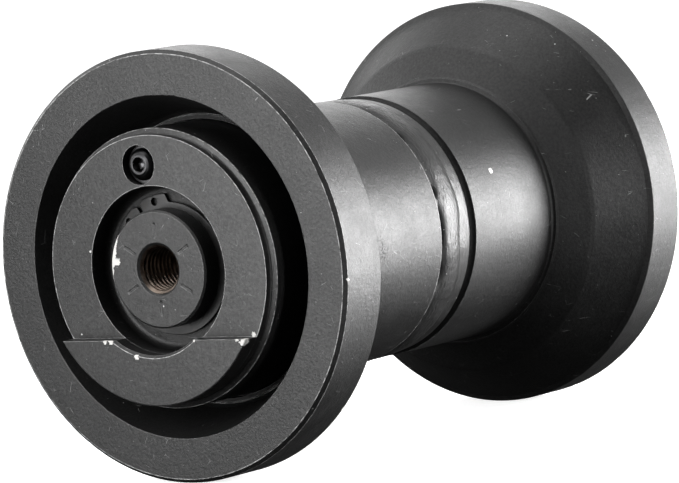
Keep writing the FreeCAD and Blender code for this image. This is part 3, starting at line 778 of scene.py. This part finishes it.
def round_cutter(name, across, up, places_and_radii, count=96):
    """Turned cutter on an axis parallel to Y, used only to cut."""
    work = RingMesh()
    rings = [work.ring(place, radius, count) for place, radius in places_and_radii]
    rings = [work.spot(places_and_radii[0][0])] + rings + [work.spot(places_and_radii[-1][0])]
    work.chain(rings)
    cutter = make_piece(name, work.points, work.faces, collar_paint)
    cutter.data.transform(Matrix.Translation((across, 0, up)))
    return cutter


def collar(end, turn):
    """Stepped collar with its milled ledge, counterbore and plug recess."""
    rear = FACE + 30.8 * MM
    front_radius = COLLAR - COLLAR_TAPER
    bore = SHAFT + 0.05 * MM
    boss = 33.5 * MM
    boss_root = FACE + 20.0 * MM
    boss_end = FACE + 43.98 * MM
    seal_bore = 47.5 * MM
    corners = [
        (WELL_FLOOR, bore, 0.2 * MM),
        (WELL_FLOOR, WELL, 3.0 * MM),
        (SEGMENT_FRONT + WELL_EDGE, WELL, 0.2 * MM),
        (SEGMENT_FRONT, WELL + WELL_EDGE, 0.2 * MM),
        (SEGMENT_FRONT, front_radius, 0.6 * MM),
        (COLLAR_FRONT, front_radius, 0.4 * MM),
        (SHOULDER - 0.8 * MM, front_radius + 0.1 * MM, 0.9 * MM),
        (SHOULDER, COLLAR, 0.6 * MM),
        (rear, COLLAR, 0.5 * MM),
        (rear, seal_bore + 1.5 * MM, 0.2 * MM),
        (rear - 1.5 * MM, seal_bore, 0.2 * MM),
        (boss_root, seal_bore, 0.4 * MM),
        (boss_root, boss, 0.2 * MM),
        (boss_end, boss, 0.2 * MM),
        (boss_end, bore, 0.2 * MM),
    ]
    piece = lathe(f"collar_{end}_turned", corners, collar_paint, steps=5)
    wide = 2 * COLLAR
    step_cut = block("step_cut", (-wide, SEGMENT_FRONT - wide, LEDGE), (wide, COLLAR_FRONT, wide))
    recess_floor = COLLAR_FRONT + 4.8 * MM
    recess_radius = 8.1 * MM
    plug_hole = 5.0 * MM
    recess = round_cutter("recess_cut", PLUG_X, PLUG_Z, [
        (COLLAR_FRONT - 5 * MM, recess_radius),
        (recess_floor, recess_radius),
        (recess_floor, plug_hole),
        (recess_floor + 14.5 * MM, plug_hole),
    ])
    cut_with(piece, [step_cut, recess])
    round_cut_edges(piece, 0.35 * MM)
    for face in piece.data.polygons:
        face.use_smooth = True
    turn_about_z(piece, turn)
    weigh_normals(piece)
    settle(piece, "axle", "collar_paint", f"collar_{end}")


# ---------------------------------------------------------------- shaft


def thread_radius(place, angle):
    """Bore radius of a right-hand metric thread with its lead-in, for an array of angles."""
    height = THREAD_MAJOR - THREAD_MINOR
    phase = (place / THREAD_PITCH - angle / TAU) % 1.0
    flank = np.clip((np.abs(phase - 0.5) * 2 - 0.125) / 0.625, 0, 1)
    threaded = THREAD_MAJOR - height * flank
    lead_in = THREAD_MINOR + HOLE_EDGE - (place - SHAFT_TIP)
    return np.maximum(threaded, lead_in)


def stamp_depth(radius, angle):
    """Depth of the six stamped radial lines at one radius, for an array of angles."""
    pitch = TAU / 6
    half_width, slope, deep = 0.78 * MM, 0.3 * MM, 0.2 * MM
    first, last = 12.6 * MM, 18.9 * MM
    from_line = np.abs(angle % pitch - pitch / 2) * radius
    wall = np.clip((half_width - from_line) / slope, 0, 1)
    ends = np.clip((radius - first) / (0.5 * MM), 0, 1) * np.clip((last - radius) / (0.6 * MM), 0, 1)
    return deep * wall * ends


def half_shaft(work):
    """Near half of the shaft, from the bottom of its threaded hole out and along to the middle."""
    bore_count = 180
    face_count = 6 * bore_count
    bore_angle = np.arange(bore_count) * TAU / bore_count
    face_angle = np.arange(face_count) * TAU / face_count
    bottom = SHAFT_TIP + HOLE_DEPTH
    rings = [work.spot(bottom + 5.2 * MM)]
    rings.append(work.ring(bottom, THREAD_MINOR, bore_count))
    rows_per_turn = 10
    rows = int(round(34 * MM / THREAD_PITCH * rows_per_turn))
    for row in range(rows, -1, -1):
        place = SHAFT_TIP + row * THREAD_PITCH / rows_per_turn
        rings.append(work.ring(place, thread_radius(place, bore_angle), bore_count))
    outer = SHAFT - 0.8 * MM
    face_radii = [11.15, 11.6, 12.2, 12.6, 12.8, 13.1, 14, 15, 16, 17, 18, 18.3, 18.6, 18.9, 19.4, 21, 22.6]
    for value in face_radii:
        radius = value * MM
        rings.append(work.ring(SHAFT_TIP + stamp_depth(radius, face_angle), radius, face_count))
    edge = soften([
        (SHAFT_TIP, 0, 0),
        (SHAFT_TIP, outer, 0.35 * MM),
        (SHAFT_TIP + 0.8 * MM, SHAFT, 0.35 * MM),
        (SHAFT_TIP + 30 * MM, SHAFT, 0),
    ], steps=3)
    for place, radius in edge[1:-1]:
        rings.append(work.ring(place, radius, bore_count))
    clip_groove = SHAFT - 1.25 * MM
    ring_groove = SHAFT - 2.38 * MM
    step = FACE + 44 * MM
    body = [
        (FACE + 2.1 * MM, SHAFT), (FACE + 2.1 * MM, clip_groove),
        (WELL_FLOOR, clip_groove), (WELL_FLOOR, SHAFT),
        (FACE + 11.9 * MM, SHAFT), (FACE + 11.9 * MM, ring_groove),
        (FACE + 16.1 * MM, ring_groove), (FACE + 16.1 * MM, SHAFT),
        (step, SHAFT), (step, JOURNAL - 0.8 * MM), (step + 0.8 * MM, JOURNAL),
        (FACE + 108 * MM, JOURNAL), (FACE + 110 * MM, WAIST), (0, WAIST),
    ]
    for place, radius in body:
        rings.append(work.ring(place, radius, bore_count))
    work.chain(rings)


def shaft():
    """Whole shaft: the near half and its copy, with bare steel in the threaded holes."""
    work = RingMesh()
    half_shaft(work)
    work.mirror_half()
    piece = make_piece("shaft_turned", work.points, work.faces, shaft_paint)
    piece.data.materials.append(thread_steel)
    for face in piece.data.polygons:
        x, y, z = face.center
        in_bore = math.hypot(x, z) < THREAD_MAJOR + 0.05 * MM and 20 * MM < abs(y) < -SHAFT_TIP - 1 * MM
        face.material_index = 1 if in_bore else 0
    weigh_normals(piece)
    settle(piece, "axle", "shaft_paint", "shaft")


# ---------------------------------------------------------------- circlip and filler plug


def polar(radius, degrees):
    """Across and up, from a radius and an angle in degrees."""
    angle = math.radians(degrees)
    return radius * math.cos(angle), radius * math.sin(angle)


def flat_shape(name, outlines, thickness, rounding, material):
    """Flat plate with holes: closed outlines filled, given a thickness and rounded edges."""
    curve = bpy.data.curves.new(name, "CURVE")
    curve.dimensions = "2D"
    curve.fill_mode = "BOTH"
    curve.extrude = thickness / 2 - rounding
    curve.bevel_depth = rounding
    curve.bevel_resolution = 2
    curve.offset = -rounding
    for outline in outlines:
        spline = curve.splines.new("POLY")
        spline.points.add(len(outline) - 1)
        for point, (across, up) in zip(spline.points, outline):
            point.co = (across, up, 0, 1)
        spline.use_cyclic_u = True
    plate = bpy.data.objects.new(name, curve)
    bpy.context.collection.objects.link(plate)
    bpy.context.view_layer.update()
    graph = bpy.context.evaluated_depsgraph_get()
    mesh = bpy.data.meshes.new_from_object(plate.evaluated_get(graph))
    bpy.data.objects.remove(plate)
    mesh.transform(Matrix.Rotation(math.pi / 2, 4, "X"))
    points = [vertex.co[:] for vertex in mesh.vertices]
    faces = [tuple(face.vertices) for face in mesh.polygons]
    return make_piece(name, points, faces, material)


def circlip_outlines():
    """Outlines of the retaining ring, thickest opposite its gap, and of its two lug holes."""
    gap = 120.0
    bore = 22.77
    thin, thick = 3.4, 5.0
    offset = (thick - thin) / 2
    ring = bore + (thick + thin) / 2
    lug = 29.7
    lug_end = 29.0
    shoulder = 32.5
    gap_half = math.degrees(0.85 / 26)
    outer_steps = 60
    bore_steps = 72

    def ring_edge(degrees):
        """Radius of the eccentric outer edge, seen from the shaft's axis."""
        away = math.radians(degrees - gap)
        return -offset * math.cos(away) + math.sqrt(ring**2 - (offset * math.sin(away)) ** 2)

    def lug_side(side):
        """Corners of one lug, from the gap outwards and round to the ring."""
        corners = [
            (*polar(bore, gap + side * gap_half * 1.15), 0.3),
            (*polar(lug - 1.2, gap + side * gap_half), 0.5),
            (*polar(lug, gap + side * gap_half * 2.6), 0.4),
        ]
        corners += [(*polar(lug, gap + side * angle), 0) for angle in (8, 12, 16, 20, 24)]
        corners.append((*polar(lug, gap + side * lug_end), 0.8))
        corners.append((*polar(ring_edge(gap + side * shoulder), gap + side * shoulder), 1.5))
        return corners

    corners = lug_side(1)
    for step in range(1, outer_steps):
        degrees = gap + shoulder + (360 - 2 * shoulder) * step / outer_steps
        corners.append((*polar(ring_edge(degrees), degrees), 0))
    corners += reversed(lug_side(-1))
    for step in range(1, bore_steps):
        degrees = gap - gap_half - (360 - 2 * gap_half) * step / bore_steps
        corners.append((*polar(bore, degrees), 0))
    outlines = [[(x * MM, z * MM) for x, z in soften(corners)]]
    for side in (-1, 1):
        across, up = polar(27.2, gap + side * 17.2)
        hole = [polar(1.6, step * 15) for step in range(24)]
        outlines.append([((across + x) * MM, (up + z) * MM) for x, z in hole])
    return outlines


def circlip(end, turn):
    """Retaining ring in its groove on the shaft."""
    piece = flat_shape(f"circlip_{end}_ring", circlip_outlines(), 1.75 * MM, 0.16 * MM, clip_steel)
    middle = (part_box("circlip_near")[0][1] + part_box("circlip_near")[1][1]) / 2
    piece.data.transform(Matrix.Translation((0, middle, 0)))
    turn_about_z(piece, turn)
    weigh_normals(piece)
    settle(piece, "axle", "spring_steel", f"circlip_{end}")


def filler_plug(end, turn):
    """Screw plug with a domed head and a chamfered hex socket."""
    count = 96
    angle = np.arange(count) * TAU / count
    hexagon = 2.5 * MM / np.cos((angle + math.radians(12)) % (TAU / 6) - TAU / 12)
    top = plug_low[1]
    head = 3.6 * MM
    head_radius = 6.6 * MM
    stem = 4.9 * MM
    stem_end = top + head + 11.5 * MM
    work = RingMesh()
    rings = [work.spot(top + 4.1 * MM)]
    rings.append(work.ring(top + 3.4 * MM, hexagon * 0.98, count))
    rings.append(work.ring(top + 3.3 * MM, hexagon, count))
    rings.append(work.ring(top + 0.55 * MM, hexagon, count))
    rings.append(work.ring(top + 0.12 * MM, np.maximum(hexagon, 3.0 * MM), count))
    rings.append(work.ring(top, 3.15 * MM, count))
    outline = soften([
        (top, 3.2 * MM, 0),
        (top, 3.9 * MM, 0.25 * MM),
        (top + head * 0.14, 4.9 * MM, 0.8 * MM),
        (top + head * 0.4, 5.9 * MM, 1.2 * MM),
        (top + head * 0.75, head_radius, 0.6 * MM),
        (top + head, head_radius, 0.15 * MM),
        (top + head, stem, 0),
        (stem_end - 1.0 * MM, stem, 0),
        (stem_end, stem - 1.0 * MM, 0),
    ])
    rings += [work.ring(place, radius, count) for place, radius in outline]
    rings.append(work.spot(stem_end))
    work.chain(rings)
    piece = make_piece(f"filler_plug_{end}_screw", work.points, work.faces, plug_steel)
    piece.data.transform(Matrix.Translation((PLUG_X, 0, PLUG_Z)))
    turn_about_z(piece, turn)
    weigh_normals(piece)
    settle(piece, "axle", "plug_steel", f"filler_plug_{end}")


# ---------------------------------------------------------------- CAD nodes that keep their shape


def finish_cad_nodes():
    """Give each carried-over CAD node its material."""
    finishes = {
        "bushing": bronze,
        "seal_ring_fixed": seal_iron,
        "seal_ring_rotating": seal_iron,
        "toric_fixed": nitrile,
        "toric_rotating": nitrile,
        "o_ring": nitrile,
        "dowel": pin_steel,
        "plug_washer": plug_steel,
    }
    for kind, material in finishes.items():
        for end, _ in ENDS:
            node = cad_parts[f"{kind}_{end}"]
            for slot in node.material_slots:
                slot.link = "OBJECT"
                slot.material = material


shaft()
weld_bead()
for end, turn in ENDS:
    shell(end, turn)
    collar(end, turn)
    circlip(end, turn)
    filler_plug(end, turn)
finish_cad_nodes()


# ---------------------------------------------------------------- floor, light and camera


def floor():
    """Pale floor that the roller rests on."""
    reach = 6.0
    low = -RIM - 0.1 * MM
    corners = [(-reach, -reach, low), (reach, -reach, low), (reach, reach, low), (-reach, reach, low)]
    nodes = Nodes("floor_pale")
    shade = nodes.span(nodes.noise(0.3, detail=3), 0.79, 0.81)
    colour = nodes.add("CombineColor", {0: shade, 1: shade, 2: shade}).outputs[0]
    material = nodes.finish(
        Base_Color=colour,
        Roughness=0.9,
        Emission_Color=(1, 1, 1, 1),
        Emission_Strength=0.78,
    )
    piece = make_piece("floor", corners, [(0, 1, 2, 3)], material)
    piece.visible_glossy = False
    piece.visible_diffuse = False
    piece.visible_shadow = False


def softbox(name, direction, distance, wide, high, power):
    """Rectangular lamp that faces the roller."""
    lamp = bpy.data.lights.new(name, "AREA")
    lamp.shape = "RECTANGLE"
    lamp.size = wide
    lamp.size_y = high
    lamp.energy = power
    holder = bpy.data.objects.new(name, lamp)
    bpy.context.collection.objects.link(holder)
    toward = Vector(direction).normalized()
    holder.location = toward * distance
    holder.visible_camera = False
    holder.rotation_euler = toward.to_track_quat("Z", "Y").to_euler()


def surroundings():
    """World light: pale above, dark below and to the right of the camera."""
    world = bpy.data.worlds.new("studio")
    bpy.context.scene.world = world
    world.use_nodes = True
    tree = world.node_tree
    tree.nodes.clear()

    def add(kind, **settings):
        node = tree.nodes.new("ShaderNode" + kind)
        for key, value in settings.items():
            setattr(node, key, value)
        return node

    place = add("TexCoord")
    parts = add("SeparateXYZ")
    tree.links.new(place.outputs["Generated"], parts.inputs[0])
    rise = add("ValToRGB")
    tree.links.new(parts.outputs["Z"], rise.inputs["Fac"])
    stops = rise.color_ramp.elements
    stops[0].position, stops[0].color = 0.0, (0.02, 0.02, 0.02, 1)
    stops[1].position, stops[1].color = 0.35, (0.8, 0.8, 0.8, 1)
    side = add("VectorMath", operation="DOT_PRODUCT")
    tree.links.new(place.outputs["Generated"], side.inputs[0])
    side.inputs[1].default_value = (0.85, -0.5, -0.1)
    shade = add("MapRange", interpolation_type="SMOOTHSTEP")
    tree.links.new(side.outputs["Value"], shade.inputs["Value"])
    shade.inputs["From Min"].default_value = 0.0
    shade.inputs["From Max"].default_value = 0.6
    shade.inputs["To Min"].default_value = 1.0
    shade.inputs["To Max"].default_value = 0.04
    light = add("Background")
    tree.links.new(shade.outputs["Result"], light.inputs["Strength"])
    tree.links.new(rise.outputs["Color"], light.inputs["Color"])
    white = add("Background")
    white.inputs["Color"].default_value = (1, 1, 1, 1)
    seen = add("LightPath")
    choose = add("MixShader")
    tree.links.new(seen.outputs["Is Camera Ray"], choose.inputs[0])
    tree.links.new(light.outputs[0], choose.inputs[1])
    tree.links.new(white.outputs[0], choose.inputs[2])
    output = add("OutputWorld")
    tree.links.new(choose.outputs[0], output.inputs["Surface"])


def camera():
    """Long lens at a low three-quarter view of the near end, rolled a little."""
    lens = bpy.data.cameras.new("camera")
    lens.lens = 260.5
    lens.sensor_width = 36.0
    holder = bpy.data.objects.new("camera", lens)
    bpy.context.collection.objects.link(holder)
    azimuth = Matrix.Rotation(math.radians(36.48), 4, "Z")
    elevation = Matrix.Rotation(math.radians(90 - 4.9025), 4, "X")
    roll = Matrix.Rotation(math.radians(-5.1428), 4, "Z")
    distance = 2.0771
    aside = Matrix.Translation((-0.00355, -0.00459, distance))
    holder.matrix_world = azimuth @ elevation @ roll @ aside
    bpy.context.scene.camera = holder


floor()
softbox("key", (0.69, 0.725, 0.045), 1.3, 0.55, 0.78, 38)
softbox("key_bounce", (0.52, 0.76, -0.42), 1.2, 0.7, 0.5, 1.8)
softbox("side", (0.255, -0.143, 0.0), 0.29, 0.03, 0.36, 0.25)
softbox("front", (-0.15, -0.72, 0.10), 0.75, 0.5, 0.5, 6.3)
softbox("fillet", (0.97, 0.17, 0.05), 0.9, 0.12, 0.4, 2.4)
softbox("left", (-0.95, -0.05, 0.25), 1.3, 1.2, 1.0, 5)
softbox("top", (-0.2, -0.25, 1.0), 1.4, 1.2, 1.2, 7)
softbox("rear_left", (-0.5, 0.8, 0.38), 1.3, 0.8, 0.5, 3.0)
softbox("low_rear", (-0.1, 0.6, -0.14), 0.45, 0.35, 0.08, 0.8)
surroundings()
camera()
bpy.context.scene.view_settings.view_transform = "Standard"
